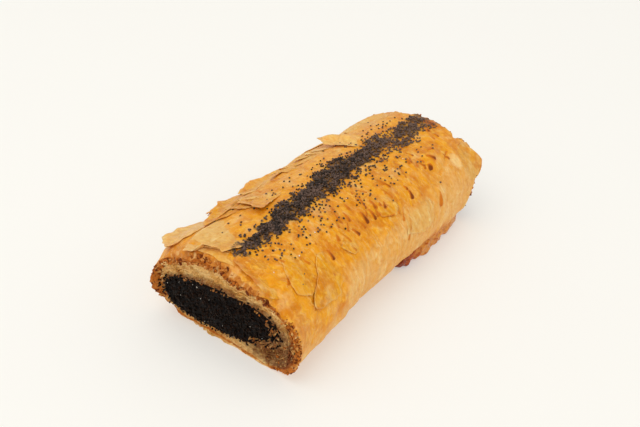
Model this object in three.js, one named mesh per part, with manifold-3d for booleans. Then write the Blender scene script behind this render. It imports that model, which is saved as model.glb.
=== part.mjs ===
// Poppy seed strudel: thin pastry sheets rolled round a poppy seed filling, baked and cut off at both ends.
// Millimetres, +Z up. The roll lies along X on its flat baked underside, with the front cut at -X.
// The origin is under the middle of the whole piece.
import * as THREE from 'three';
import { ImprovedNoise } from 'three/addons/math/ImprovedNoise.js';
import { ParametricGeometry } from 'three/addons/geometries/ParametricGeometry.js';
import { mergeVertices } from 'three/addons/utils/BufferGeometryUtils.js';
import Module from 'manifold-3d';

const { clamp, degToRad, euclideanModulo, lerp, seededRandom, smoothstep } = THREE.MathUtils;

// The roll's outline is a superellipse, rounder above its widest line than below it.
const roll = {
  length: 138,
  width: 72,
  height: 40.6,
  widestShare: 0.414,
  crownPower: 2.24,
  basePower: 3.2,
  pressedFlat: 0.9,
  frontLean: -0.05,
  backLean: 0.1,
};

// The core of filling, with a small gap to the pastry round it.
const core = {
  width: 57,
  height: 20,
  middleY: 1.5,
  middleZ: 16,
  tilt: degToRad(-5),
  power: 2.5,
  gap: 0.35,
  bulge: 0.7,
  grain: 0.9,
};

// Wrinkles of the skin, crags of the cuts and the step where the outer sheets broke away above the front cut.
const relief = {
  fold: 0.9,
  crease: 0.5,
  rag: 1.6,
  ply: 0.8,
  plyCount: 3,
  ledgeDepth: 1.3,
  ledgeReach: 6,
  ledgeHalf: 30,
};

// The strip of seeds along the crest, which swings a little from side to side and widens towards the back.
const strip = {
  front: -60,
  back: 68,
  frontHalf: 4.4,
  backHalf: 8,
  swing: 2.1,
  swingMiddle: 1.9,
  swingFrom: 6,
  swingLength: 116,
  rise: 0.5,
};

const seed = { count: 116, length: 1.25, width: 1.05, thickness: 0.95, above: 0.12, drawFrom: 20 };

// Sheets that have come loose. x is along the roll and arc is round it from the crest, growing towards -Y.
// A sheet's free edge points towards -Y at turn 0, to the front at 90 and towards +Y at 180 degrees.
const sheet = { thickness: 0.7, sunk: 0.8, wave: 0.5, waveLength: 9, tear: 0.2, cells: 5 };
const looseSheets = [
  { x: -55, arc: -32, length: 31, width: 15, turn: 166, lift: 5 },
  { x: -55, arc: -10, length: 24, width: 20, turn: 95, lift: 1.6 },
  { x: -36, arc: -27, length: 27, width: 14, turn: 158, lift: 4 },
  { x: -30, arc: -14, length: 18, width: 11, turn: 60, lift: 2.6 },
  { x: -13, arc: -30, length: 27, width: 15, turn: 170, lift: 5 },
  { x: 36, arc: -28, length: 23, width: 13, turn: 140, lift: 4.2 },
  { x: 10, arc: -37, length: 28, width: 14, turn: 186, lift: 3.4 },
  { x: 56, arc: -39, length: 23, width: 13, turn: 200, lift: 3 },
  { x: -48, arc: 17, length: 30, width: 24, turn: 90, lift: 1 },
  { x: -50, arc: 36, length: 17, width: 15, turn: 66, lift: 1.2 },
  { x: 19, arc: 33, length: 30, width: 17, turn: 20, lift: 0.9 },
  { x: 64, arc: 32, length: 17, width: 15, turn: -90, lift: 1.4 },
];

// Syrup that ran out at the foot of the -Y side and browned there in lumps.
const syrup = { y: -34.6, rough: 0.45, clearOfBase: 0.3 };
const syrupLumps = [
  { x: 8, length: 21, width: 9, height: 8.4 },
  { x: 25, length: 25, width: 7.6, height: 6.6 },
  { x: 42, length: 20, width: 6.4, height: 5.4 },
];

// A puffed blister on the -Y shoulder near the back.
const blister = { x: 44, arc: 23, radius: 7, height: 1.8 };

const colours = { pastry: 0xe0a04a, filling: 0x15110f };

const skinRings = 28;
const cutRings = 4;
const tunnelRings = 3;
const sides = 52;
const coreCells = { along: 5, across: 20, up: 8 };
const alongRoll = new THREE.Vector3(1, 0, 0);
const noise = new ImprovedNoise();
const wasm = await Module();
wasm.setup();

// Distance from the middle of a superellipse to its edge, in a direction given by its cosine and sine.
function superellipseReach(c, s, halfWidth, halfHeight, power) {
  return (Math.abs(c / halfWidth) ** power + Math.abs(s / halfHeight) ** power) ** (-1 / power);
}

// The roll's outline, as a closed curve that starts at the crest and goes down the -Y side first.
function makeOutline(points = 180) {
  const widestZ = roll.height * roll.widestShare;
  const places = [];
  for (let i = 0; i < points; i++) {
    const angle = Math.PI * (0.5 + (2 * i) / points);
    const c = Math.cos(angle);
    const s = Math.sin(angle);
    const power = s >= 0 ? roll.crownPower : roll.basePower;
    const reach = superellipseReach(c, s, roll.width / 2, s >= 0 ? roll.height - widestZ : widestZ, power);
    places.push(new THREE.Vector3(0, reach * c, Math.max(widestZ + reach * s, roll.pressedFlat)));
  }
  const curve = new THREE.CatmullRomCurve3(places, true);
  curve.arcLengthDivisions = 4 * points;
  return curve;
}

const outline = makeOutline();
const girth = outline.getLength();

// A point above the roll's smooth skin, at a distance round it from the crest.
function onRoll(x, arc, lift) {
  const share = euclideanModulo(arc / girth, 1);
  const outward = outline.getTangentAt(share).cross(alongRoll);
  return outline.getPointAt(share).addScaledVector(outward, lift).setX(x);
}

function stripMiddle(x) {
  const phase = (2 * Math.PI * (x - strip.swingFrom)) / strip.swingLength;
  return strip.swingMiddle - strip.swing * Math.cos(phase);
}

function stripHalf(x) {
  return lerp(strip.frontHalf, strip.backHalf, smoothstep(x, strip.front, 20));
}

// Signed distance round the roll from the crest, so that both flanks meet under the roll.
function signedArc(arc) {
  return euclideanModulo(arc + girth / 2, girth) - girth / 2;
}

// How far the baked skin stands off the smooth roll.
function skinRelief(x, arc) {
  const side = signedArc(arc);
  const height = outline.getPointAt(euclideanModulo(arc / girth, 1)).z;
  const clearOfBase = smoothstep(height, roll.pressedFlat + 0.5, 7);
  const folds = relief.fold * noise.noise(x * 0.11 + side * 0.03, side * 0.045, 1.7);
  const creases = relief.crease * noise.noise(x * 0.27, side * 0.12 + x * 0.05, 8.3);
  const onStrip = 1 - smoothstep(Math.abs(side - stripMiddle(x)), stripHalf(x) * 0.6, stripHalf(x));
  const seeds = strip.rise * onStrip * smoothstep(x, strip.front - 3, strip.front + 3);
  const fromFront = x + roll.length / 2;
  const broken = 1 - smoothstep(fromFront, relief.ledgeReach - 2, relief.ledgeReach);
  const overTop = 1 - smoothstep(Math.abs(side), relief.ledgeHalf - 6, relief.ledgeHalf);
  const ledge = relief.ledgeDepth * broken * overTop;
  const fromBlister = Math.hypot(x - blister.x, side - blister.arc) / blister.radius;
  const puff = blister.height * (1 - smoothstep(fromBlister, 0.2, 1));
  return clearOfBase * (folds + creases + seeds - ledge + puff);
}

// The edge of the core, or of the tunnel round it, in the direction of a point of the section.
function coreEdge(y, z, grow) {
  const angle = Math.atan2(z - core.middleZ, y - core.middleY) - core.tilt;
  const c = Math.cos(angle);
  const s = Math.sin(angle);
  const reach = superellipseReach(c, s, core.width / 2 + grow, core.height / 2 + grow, core.power);
  return [
    core.middleY + reach * Math.cos(angle + core.tilt),
    core.middleZ + reach * Math.sin(angle + core.tilt),
  ];
}

// Where the cut at one end lies along X: each ply of pastry breaks off at its own length.
function cutPlace(isBack, y, z, depth) {
  const lean = (isBack ? roll.backLean : roll.frontLean) * (z - roll.height / 2);
  const seedOfEnd = isBack ? 41.3 : 12.9;
  const rag = relief.rag * noise.noise(y * 0.19, z * 0.19, seedOfEnd) * (1 - depth);
  const betweenEdges = 2 * depth * (1 - depth);
  const plies = relief.ply * Math.sin(2 * Math.PI * relief.plyCount * depth + y * 0.21) * betweenEdges;
  const outwards = isBack ? 1 : -1;
  return outwards * (roll.length / 2 + rag + plies) + lean;
}

// Evenly spaced shares from 0 up to, and without, 1.
function shares(count) {
  return Array.from({ length: count }, (_, i) => i / count);
}

// The pastry's rings go back along the skin, in across the back cut, forward along the tunnel and out again.
function ringPath() {
  return [
    ...shares(skinRings).map((t) => ({ along: t, depth: 0 })),
    ...shares(cutRings).map((t) => ({ along: 1, depth: t })),
    ...shares(tunnelRings).map((t) => ({ along: 1 - t, depth: 1 })),
    ...shares(cutRings).map((t) => ({ along: 0, depth: 1 - t })),
  ];
}

function pastryGeometry() {
  const rings = ringPath();
  const pointAt = (u, v, target) => {
    const { along, depth } = rings[Math.round(v * rings.length) % rings.length];
    const arc = u * girth;
    const nominalX = lerp(-roll.length / 2, roll.length / 2, along);
    const skin = onRoll(nominalX, arc, skinRelief(nominalX, arc));
    const [tunnelY, tunnelZ] = coreEdge(skin.y, skin.z, core.gap);
    const y = lerp(skin.y, tunnelY, depth);
    const z = lerp(skin.z, tunnelZ, depth);
    target.set(lerp(cutPlace(false, y, z, depth), cutPlace(true, y, z, depth), along), y, z);
  };
  return new ParametricGeometry(pointAt, sides, rings.length);
}

// A block whose square sections are drawn out to the core's outline, with grainy ends.
function fillingGeometry() {
  const block = new THREE.BoxGeometry(2, 2, 2, coreCells.along, coreCells.across, coreCells.up);
  const places = block.getAttribute('position');
  const p = new THREE.Vector3();
  for (let i = 0; i < places.count; i++) {
    p.fromBufferAttribute(places, i);
    const spread = Math.max(Math.abs(p.y), Math.abs(p.z));
    const angle = Math.atan2(p.z, p.y);
    const reach = spread * superellipseReach(Math.cos(angle), Math.sin(angle), 1, 1, core.power);
    const wide = (core.width / 2) * reach * Math.cos(angle);
    const high = (core.height / 2) * reach * Math.sin(angle);
    const grain = core.grain * noise.noise(wide * 0.77, high * 0.77, p.x * 5.5);
    const swell = spread < 1 ? p.x * (core.bulge * (1 - spread * spread) + grain) : 0;
    p.set(p.x * (roll.length / 2) + swell, wide, high).applyAxisAngle(alongRoll, core.tilt);
    places.setXYZ(i, p.x, core.middleY + p.y, core.middleZ + p.z);
  }
  return block;
}

// Length along X, distance round the roll and lift of a loose sheet, at a and b from -1 to 1 across it.
function sheetPlace(loose, a, b) {
  const spread = Math.max(Math.abs(a), Math.abs(b));
  const angle = Math.atan2(b, a);
  const c = Math.cos(angle);
  const s = Math.sin(angle);
  const torn = 1 + sheet.tear * noise.noise(loose.x + 1.9 * c, loose.arc + 1.9 * s, 0.4);
  const reach = spread * torn * superellipseReach(c, s, 1, 1, 4);
  const along = (loose.length / 2) * reach * c;
  const across = (loose.width / 2) * reach * s;
  const turn = degToRad(loose.turn);
  const free = clamp(0.5 + across / loose.width, 0, 1.2);
  const wave = sheet.wave * Math.sin((2 * Math.PI * along) / sheet.waveLength + loose.x) * free;
  return {
    x: loose.x + along * Math.cos(turn) - across * Math.sin(turn),
    arc: loose.arc + along * Math.sin(turn) + across * Math.cos(turn),
    lift: -sheet.sunk + (loose.lift + sheet.sunk) * free ** 1.6 + wave,
  };
}

// A thin curved solid whose two faces are split into triangles alike.
function looseSheetGeometry(loose) {
  const n = sheet.cells;
  const across = n + 1;
  const perFace = across * across;
  const places = [];
  for (const face of [1, -1]) {
    for (let j = 0; j <= n; j++) {
      for (let i = 0; i <= n; i++) {
        const { x, arc, lift } = sheetPlace(loose, (2 * i) / n - 1, (2 * j) / n - 1);
        places.push(...onRoll(x, arc, lift + skinRelief(x, arc) + (face * sheet.thickness) / 2).toArray());
      }
    }
  }
  const index = [];
  for (let j = 0; j < n; j++) {
    for (let i = 0; i < n; i++) {
      const corner = j * across + i;
      const [b, c, d] = [corner + 1, corner + across + 1, corner + across];
      index.push(corner, c, b, corner, d, c);
      index.push(corner + perFace, b + perFace, c + perFace, corner + perFace, c + perFace, d + perFace);
    }
  }
  const rim = [
    ...shares(n).map((t) => t * n),
    ...shares(n).map((t) => t * n * across + n),
    ...shares(n).map((t) => n * across + n - t * n),
    ...shares(n).map((t) => (n - t * n) * across),
  ];
  rim.forEach((from, k) => {
    const to = rim[(k + 1) % rim.length];
    index.push(from, to, to + perFace, from, to + perFace, from + perFace);
  });
  const geometry = new THREE.BufferGeometry();
  geometry.setAttribute('position', new THREE.Float32BufferAttribute(places, 3));
  geometry.setIndex(index);
  return geometry;
}

// Seeds lie thickest along the middle of the strip and thin out to its sides.
function seedGeometries() {
  seededRandom(seed.drawFrom);
  return shares(seed.count).map((share) => {
    const x = lerp(strip.front, strip.back, share + seededRandom() / seed.count);
    const sideways = seededRandom() + seededRandom() + seededRandom() - 1.5;
    const arc = stripMiddle(x) + 1.5 * stripHalf(x) * sideways;
    const place = onRoll(x, arc, skinRelief(x, arc) + seed.above);
    const grain = new THREE.IcosahedronGeometry(0.5, 0);
    grain.scale(seed.length, seed.width, seed.thickness);
    grain.rotateZ(Math.PI * seededRandom());
    return grain.translate(place.x, place.y, place.z);
  });
}

// A rough ball, drawn out along the foot of the roll and flat underneath.
function syrupGeometry(lump) {
  const ball = new THREE.SphereGeometry(0.5, 10, 7);
  const places = ball.getAttribute('position');
  const p = new THREE.Vector3();
  const foot = roll.pressedFlat + syrup.clearOfBase;
  for (let i = 0; i < places.count; i++) {
    p.fromBufferAttribute(places, i);
    p.multiplyScalar(1 + syrup.rough * noise.noise(p.x * 3.3 + lump.x, p.y * 3.3, p.z * 3.3));
    const z = foot + lump.height * (0.3 + p.z);
    places.setXYZ(i, lump.x + lump.length * p.x, syrup.y + lump.width * p.y, Math.max(z, foot));
  }
  return ball;
}

// A closed geometry as a solid, with the vertices along its seams merged.
function solidFrom(geometry) {
  const bare = geometry.clone();
  bare.deleteAttribute('normal');
  bare.deleteAttribute('uv');
  const merged = mergeVertices(bare, 1e-4);
  return new wasm.Manifold(
    new wasm.Mesh({
      numProp: 3,
      vertProperties: merged.getAttribute('position').array,
      triVerts: new Uint32Array(merged.index.array),
    }),
  );
}

function geometryFrom(solid) {
  const { vertProperties, triVerts } = solid.getMesh();
  const geometry = new THREE.BufferGeometry();
  geometry.setAttribute('position', new THREE.BufferAttribute(vertProperties, 3));
  geometry.setIndex(new THREE.BufferAttribute(triVerts, 1));
  geometry.computeVertexNormals();
  return geometry;
}

// The pastry with its loose sheets, syrup and seeds fused on.
// The largest body is kept, so that sealed gaps are filled and scraps that touch nothing are dropped.
function pastrySolid() {
  const extras = [
    ...looseSheets.map(looseSheetGeometry),
    ...syrupLumps.map(syrupGeometry),
    ...seedGeometries(),
  ];
  const fused = extras.reduce((whole, extra) => whole.add(solidFrom(extra)), solidFrom(pastryGeometry()));
  return fused.decompose().sort((a, b) => b.volume() - a.volume())[0];
}

function baked(name, geometry, color, roughness) {
  const material = new THREE.MeshStandardMaterial({ color, roughness, metalness: 0 });
  const mesh = new THREE.Mesh(geometry, material);
  mesh.name = name;
  return mesh;
}

// The roll is set down with the middle of its whole box over the origin.
function setDown(pieces) {
  const strudel = new THREE.Group();
  strudel.add(...pieces);
  const box = new THREE.Box3().setFromObject(strudel);
  const middle = box.getCenter(new THREE.Vector3());
  strudel.position.set(-middle.x, -middle.y, -box.min.z);
  return new THREE.Group().add(strudel);
}

export default setDown([
  baked('pastry', geometryFrom(pastrySolid()), colours.pastry, 0.6),
  baked('filling', geometryFrom(solidFrom(fillingGeometry())), colours.filling, 0.45),
]);
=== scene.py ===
import itertools
import math

import bpy
import numpy as np
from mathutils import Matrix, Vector


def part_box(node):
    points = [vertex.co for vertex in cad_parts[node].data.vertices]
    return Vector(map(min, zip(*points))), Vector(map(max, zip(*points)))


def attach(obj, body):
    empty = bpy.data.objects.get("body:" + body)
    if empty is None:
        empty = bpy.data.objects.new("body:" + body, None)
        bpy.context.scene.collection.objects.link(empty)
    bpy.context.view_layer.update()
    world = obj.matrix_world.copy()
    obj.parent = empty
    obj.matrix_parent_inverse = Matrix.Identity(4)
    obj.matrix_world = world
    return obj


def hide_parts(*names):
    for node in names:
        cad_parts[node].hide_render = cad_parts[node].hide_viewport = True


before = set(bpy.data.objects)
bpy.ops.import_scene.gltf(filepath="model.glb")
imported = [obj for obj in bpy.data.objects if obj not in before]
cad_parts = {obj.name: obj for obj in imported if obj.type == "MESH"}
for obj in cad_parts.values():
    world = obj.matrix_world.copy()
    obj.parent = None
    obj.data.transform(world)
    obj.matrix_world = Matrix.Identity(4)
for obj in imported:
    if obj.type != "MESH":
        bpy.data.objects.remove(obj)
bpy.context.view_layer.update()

# Poppy seed strudel: the baked roll, its loose sheets, its filling, the seeds on top and browned syrup.
# Shapes are worked out in millimetres on the roll. x runs along it, arc runs round it from the crest and
# grows towards -Y, and depth runs from the skin (0) to the filling (1). toFrame puts them in the frame.

mm = 0.001

roll = {
    "length": 138,
    "width": 72,
    "height": 40.6,
    "widestShare": 0.414,    # height of the widest line
    "crownPower": 2.24,
    "basePower": 3.2,
    "pressedFlat": 0.9,
    "frontLean": -0.05,
    "backLean": 0.1,
}

core = {
    "width": 57,
    "height": 20,
    "middleY": 1.5,
    "middleZ": 16,
    "tilt": math.radians(-5),
    "power": 2.5,
}

coreLow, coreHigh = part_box("filling")
rollShift = np.array((coreLow + coreHigh) / 2) - mm * np.array([0, core["middleY"], core["middleZ"]])
halfLong = roll["length"] / 2


# numbers

def toFrame(points):
    return points * mm + rollShift


def smooth(value, low, high):
    t = np.clip((value - low) / (high - low), 0, 1)
    return t * t * (3 - 2 * t)


def mix(a, b, share):
    return a + (b - a) * share


def unit(vectors):
    return vectors / np.linalg.norm(vectors, axis=-1, keepdims=True)


def latticeDraw(i, j, seed):
    n = (i * 374761393 + j * 668265263 + seed * 974634777) & 0x7FFFFFFF
    n = ((n ^ (n >> 13)) * 1274126177) & 0x7FFFFFFF
    return ((n ^ (n >> 16)) & 0xFFFF) / 32767.5 - 1


def softNoise(a, b, seed):    # from -1 to 1, one bump about 2 units wide
    i, j = np.floor(a).astype(np.int64), np.floor(b).astype(np.int64)
    u, v = smooth(a - i, 0, 1), smooth(b - j, 0, 1)
    near = mix(latticeDraw(i, j, seed), latticeDraw(i + 1, j, seed), u)
    far = mix(latticeDraw(i, j + 1, seed), latticeDraw(i + 1, j + 1, seed), u)
    return mix(near, far, v)


def crumple(a, b, seed, octaves=3):
    return sum(softNoise(a * 2**k, b * 2**k, seed + 7 * k) / 2**k for k in range(octaves)) / 1.6


def ridges(a, b, seed):    # sharp crests on a soft floor, 0 to 1
    return (1 - np.abs(softNoise(a, b, seed))) ** 3


def fromTable(value, table):
    return np.interp(value, *zip(*table))


def fromLine(x, arc, x0, arc0, x1, arc1):    # how far off a line, and how far along it
    runX, runArc = x1 - x0, arc1 - arc0
    share = np.clip(((x - x0) * runX + (arc - arc0) * runArc) / (runX**2 + runArc**2 + 1e-9), 0, 1)
    return np.hypot(x - x0 - share * runX, arc - arc0 - share * runArc), share


def bell(value, middle, wide):
    return np.exp(-(((value - middle) / wide) ** 2))


def between(value, low, lowFull, highFull, high):    # 1 in the span, fading out at both its ends
    return smooth(value, low, lowFull) * (1 - smooth(value, highFull, high))


# the roll's section

def outlineTable(count=2880):
    angle = np.pi * (0.5 + 2 * np.arange(count + 1) / count)
    c, s = np.cos(angle), np.sin(angle)
    widestZ = roll["height"] * roll["widestShare"]
    power = np.where(s >= 0, roll["crownPower"], roll["basePower"])
    halfHigh = np.where(s >= 0, roll["height"] - widestZ, widestZ)
    reach = (np.abs(2 * c / roll["width"]) ** power + np.abs(s / halfHigh) ** power) ** (-1 / power)
    y = reach * c
    z = np.maximum(widestZ + reach * s, roll["pressedFlat"])
    arc = np.concatenate([[0], np.cumsum(np.hypot(np.diff(y), np.diff(z)))])
    return arc, y, z


outlineArc, outlineY, outlineZ = outlineTable()
girth = outlineArc[-1]


def fromCrest(arc):    # the same place, counted from the crest down either side
    return np.mod(arc + girth / 2, girth) - girth / 2


def sectionPoint(arc):
    place = np.mod(arc, girth)
    return np.interp(place, outlineArc, outlineY), np.interp(place, outlineArc, outlineZ)


def outward(arc):
    aheadY, aheadZ = sectionPoint(arc + 0.4)
    behindY, behindZ = sectionPoint(arc - 0.4)
    runY, runZ = aheadY - behindY, aheadZ - behindZ
    run = np.hypot(runY, runZ)
    return runZ / run, -runY / run


def onRoll(x, arc, lift):
    y, z = sectionPoint(arc)
    outY, outZ = outward(arc)
    return np.stack([x + 0 * y, y + lift * outY, z + lift * outZ], axis=-1)


def coreEdge(y, z, grow):
    angle = np.arctan2(z - core["middleZ"], y - core["middleY"]) - core["tilt"]
    across = np.abs(np.cos(angle) / (core["width"] / 2 + grow)) ** core["power"]
    upward = np.abs(np.sin(angle) / (core["height"] / 2 + grow)) ** core["power"]
    reach = (across + upward) ** (-1 / core["power"])
    turned = angle + core["tilt"]
    return core["middleY"] + reach * np.cos(turned), core["middleZ"] + reach * np.sin(turned)


# the strip of seeds along the crest

strip = {
    "front": -60,
    "back": 70,
    "frontHalf": 5,
    "backHalf": 8,
    "swing": 2.1,
    "swingMiddle": 1.9,
    "swingFrom": 6,
    "swingLength": 116,
    "rise": 0.4,
    "clumps": 0.7,
    "patches": 0.35,
    "frontThin": 0.28,
    "farThin": 0.3,
}


def stripMiddle(x):
    turn = 2 * np.pi * (x - strip["swingFrom"]) / strip["swingLength"]
    return strip["swingMiddle"] - strip["swing"] * np.cos(turn)


def stripHalf(x):
    return mix(strip["frontHalf"], strip["backHalf"], smooth(x, strip["front"], 20))


def stripThin(x):    # fewer seeds lie on the far half
    return 1 - strip["farThin"] * smooth(x, 5, 45)


def stripCover(x, arc):    # how thickly seeds lie, 0 to 1
    front = strip["front"]
    sideways = np.abs(arc - stripMiddle(x)) / stripHalf(x)
    uneven = strip["clumps"] * crumple(x / 2.2, arc / 2.2, 171)
    uneven = uneven + strip["patches"] * softNoise(x / 7, arc / 4, 173)
    uneven = uneven - strip["frontThin"] * (1 - smooth(x, front - 3, front + 20))
    return smooth(x, front - 5, front) * smooth(1.15 - 1.05 * sideways + uneven, -0.25, 1.15)


# the baked skin: relief in millimetres, and how toasted, streaked, dry, pale and seeded it is; some of the
# toast is painted shade and some of the pale is painted highlight

skin = {
    "fold": 0.75,
    "wrinkle": 0.58,
    "pleat": 0.34,
    "crinkle": 0.14,
    "terrace": 0.45,
    "terraceWide": 8.5,
    "farTaper": 1.5,
    "shoulderReach": 7.5,
    "ply": 0.9,
    "streakRise": 0.3,    # each browned streak runs down a small blister
    "slack": 2.3,         # the flank hangs in a little below its middle
    "bubbles": 60,
    "bubbleDraw": 5,
}

shoulder = [    # arc, how far the front edge has sunk
    (-48, 0), (-42, 1.4), (-34, 2.6), (-28, 2.8), (-20, 2.2), (-10, 1.8), (0, 2.0), (8, 2.6), (15, 3.2),
    (22, 3.8), (28, 3.2), (34, 1.4), (40, 0),
]

tornBack = [    # arc, how far the outer sheets are broken back from the front cut
    (-30, 0), (-24, 0.8), (-18, 1.4), (-10, 1.6), (-4, 1.4), (0, 1.6), (5, 1.6), (10, 1.6), (15, 1.3),
    (20, 0.8), (25, 0),
]

blisters = [    # x, arc, radius, height
    (47, 23.5, 8, 1.5),
    (51, 21, 4.5, 0.8),
    (43, 25.5, 3.4, 0.6),
    (35, 16, 3, 0.7),
    (-25, 21, 4, 0.5),
    (-9, 22, 5, 0.6),
    (-47, 31, 5, 0.5),
    (-61, 53, 15, 0.9),
]

folds = [    # x, arc to x, arc, half width, height
    (-13, 38.7, -3, 34, 1.5, 0.5),
    (-3, 34, -2.5, 44, 1.4, 0.45),
    (-18, 36, -13.5, 34, 1.3, 0.4),
    (-13.5, 34, -13, 46, 1.4, 0.45),
    (-64.5, 21.2, -69, 27.5, 0.9, -0.35),
    (-63, 24, -69, 28, 0.9, -0.3),
    (-30, 34, -33, 48, 1.6, 0.4),
    (-40, 42, -44, 54, 1.6, 0.4),
    (8, 36, 4, 50, 1.6, 0.45),
    (24, 36, 20, 50, 1.8, 0.4),
    (41.5, 22.8, 40, 28, 1.0, -0.5),
    (40, 28, 45, 30.5, 1.0, -0.5),
    (45, 30.5, 52, 28, 1.0, -0.5),
    (52, 28, 58.5, 24, 1.0, -0.5),
    (-41, 24, -53.5, 36, 0.7, -0.3),
    (-8, 14, -6, 18.5, 0.9, 0.4),
    (-6, 18.5, -6, 21.5, 0.9, 0.4),
    (0.5, 18.5, -2, 23, 0.8, 0.4),
    (-2, 23, -4, 26, 0.8, 0.4),
]

streaks = [    # x, arc to x, arc, half width at the lower end, strength of the browning
    (-19, 14.5, -21, 20.5, 0.6, 0.75),
    (-15.5, 18, -16.5, 22, 0.8, 0.8),
    (-18.5, 22, -21.5, 25, 0.6, 0.7),
    (-19, 25.5, -18, 28.5, 0.8, 0.95),
    (-11, 15, -11.5, 18, 0.9, 0.65),
    (-2.5, 16, -5.5, 22.5, 0.6, 0.9),
    (-9.5, 22.5, -10, 27, 0.9, 1.1),
    (-7, 23, -8.5, 25, 0.6, 0.7),
    (-13, 25.5, -13, 28, 0.7, 0.7),
    (-1, 21, -1.5, 24.5, 0.9, 0.8),
    (-4.5, 23.5, -5.5, 28, 0.8, 0.95),
    (1.5, 24, 1, 25, 0.8, 0.7),
    (3.5, 25, 2, 27, 0.7, 1.0),
    (11.5, 16.5, 13, 22, 0.5, 0.85),
    (8.5, 20, 9.5, 26, 0.5, 0.6),
    (19.5, 25, 19.5, 27, 0.6, 0.85),
    (19.5, 28, 18.5, 31, 0.9, 1.15),
    (-36, 25.5, -36.5, 29.5, 0.8, 0.95),
    (-47.5, 23, -47, 25, 0.5, 0.7),
    (-25.5, 22.5, -24, 28.5, 0.6, 0.55),
    (-3, 29.5, 3, 31.5, 0.5, 0.55),
    (10.5, 30.5, 7, 36, 0.8, 0.5),
    (11.5, 35.5, 7, 45.5, 0.9, 0.5),
    (0, 13, 2, 17.5, 0.5, 0.6),
    (36.5, 16.5, 34.5, 19, 0.9, 0.8),
    (34, 16.5, 33, 19, 0.8, 0.7),
    (44.5, 21.5, 46, 24.5, 1.0, 0.95),
    (39.5, 23.5, 38, 25, 0.7, 0.8),
    (41, 25, 40.5, 26.5, 1.1, 1.2),
    (48, 19.5, 50.5, 20.5, 0.7, 0.8),
    (39.5, 19, 40.5, 22.5, 0.7, 0.6),
    (63, 9.5, 62, 12, 0.9, 0.9),
    (68, 1, 69, 10, 2.2, 0.9),
    (29, 12, 24.5, 23, 0.7, 0.45),
    (52, 27, 57.5, 25, 0.7, 0.55),
    (35.5, 37, 33.5, 42, 1.2, 0.66),
]

fineStreaks = {
    "draw": 37,
    "zones": [    # count, x from and to, arc from and to, strength
        (14, -30, 10, 12, 30, 0.6),
        (6, 8, 34, 10, 32, 0.55),
        (8, 34, 66, 6, 26, 0.7),
        (6, -60, -30, 14, 34, 0.5),
        (8, -55, 60, -30, -8, 0.5),
    ],
}


def drawStreaks():
    draw = np.random.default_rng(fineStreaks["draw"])
    found = []
    for count, xFrom, xTo, arcFrom, arcTo, strength in fineStreaks["zones"]:
        for x, arc in zip(draw.uniform(xFrom, xTo, count), draw.uniform(arcFrom, arcTo, count)):
            length, lean = draw.uniform(1, 3.5), draw.uniform(-0.7, 0.4)
            half, browning = draw.uniform(0.5, 0.9), strength * draw.uniform(0.7, 1.3)
            found.append((x, arc, x + lean * length, arc + length, half, browning))
    return found


def drawBubbles():
    draw = np.random.default_rng(skin["bubbleDraw"])
    spans = [(-62, 66), (-14, 62), (0.9, 2.8), (0.1, 0.3)]    # x, arc, radius, height
    return np.stack([draw.uniform(low, high, skin["bubbles"]) for low, high in spans], axis=-1)


allStreaks = streaks + drawStreaks()
allBlisters = [*blisters, *drawBubbles()]


def frontBreak(x, arc):    # 1 where the outer sheets are gone at the front
    reach = fromTable(arc, tornBack)
    ragged = reach + 0.9 * crumple(arc / 4.5, x / 9, 61) * smooth(reach, 0, 2)
    return (1 - smooth(x + halfLong, ragged - 0.35, ragged + 0.25)) * smooth(reach, 0.05, 0.8)


def frontLip(x, side):    # 1 on the skin behind the top of the front rim, which is worn and also gets painted shade from the sheet edges above it
    return smooth(-x, 60, 66) * between(side, -38, -28, 2, 14)


def pleats(x, side):    # tall soft folds low on the -Y flank, -1 to 1
    return softNoise(x / 2.4 + 0.05 * side, side / 40, 19) * between(side, 32, 41, 54, 62)


def skinHeight(x, arc):
    side = fromCrest(arc)
    clear = smooth(sectionPoint(arc)[1], roll["pressedFlat"] + 0.5, 7)
    buttered, flaky = smooth(side, 8, 20), smooth(-side, 6, 14)
    height = skin["fold"] * softNoise(x * 0.11 + side * 0.03, side * 0.045, 3)
    slant = x + 0.16 * side + 2.6 * softNoise(x * 0.07, side * 0.06, 11)
    waves = ridges(slant / 6.5, side / 34, 17) + 0.25 * ridges(slant / 2.9, side / 18, 29)
    height = height + skin["wrinkle"] * buttered * waves + skin["pleat"] * pleats(x, side)
    height = height + skin["crinkle"] * crumple(x / 2.4 + 0.3 * side, side / 2.9, 41)
    lap = side / skin["terraceWide"] + 0.55 * softNoise(x / 24, side / 30, 53) + x / 130
    height = height + skin["terrace"] * flaky * (np.ceil(lap) - lap) ** 1.5
    height = height + strip["rise"] * stripCover(x, side)
    height = height - skin["farTaper"] * smooth(x, 32, 54) * between(-side, 6, 22, 46, 62)
    height = height - skin["slack"] * bell(x, -14, 32) * bell(side, 58, 9)
    for px, pArc, radius, high in allBlisters:
        height = height + high * (1 - smooth(np.hypot(x - px, side - pArc) / radius, 0.1, 1))
    for x0, arc0, x1, arc1, half, high in folds:
        away, _ = fromLine(x, side, x0, arc0, x1, arc1)
        height = height + high * (1 - smooth(away / half, 0.1, 1.2))
    for x0, arc0, x1, arc1, half, strength in streaks:
        away, _ = fromLine(x, side, x0 + 0.6, arc0 - 1.5, x1 + 0.6, arc1 - 0.6)
        height = height + skin["streakRise"] * strength * (1 - smooth(away / (half + 0.5), 0.2, 1.2))
    fromFront = np.clip((x + halfLong) / skin["shoulderReach"], 0, 1)
    height = height - fromTable(side, shoulder) * (1 - fromFront) ** 1.4
    lost = frontBreak(x, side)
    steps = 1.0 + 0.9 * crumple(x / 1.7, side / 1.9, 67) + 0.8 * np.abs(softNoise(x / 0.9, side / 1.1, 69))
    return clear * (height - skin["ply"] * lost * steps)


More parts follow.
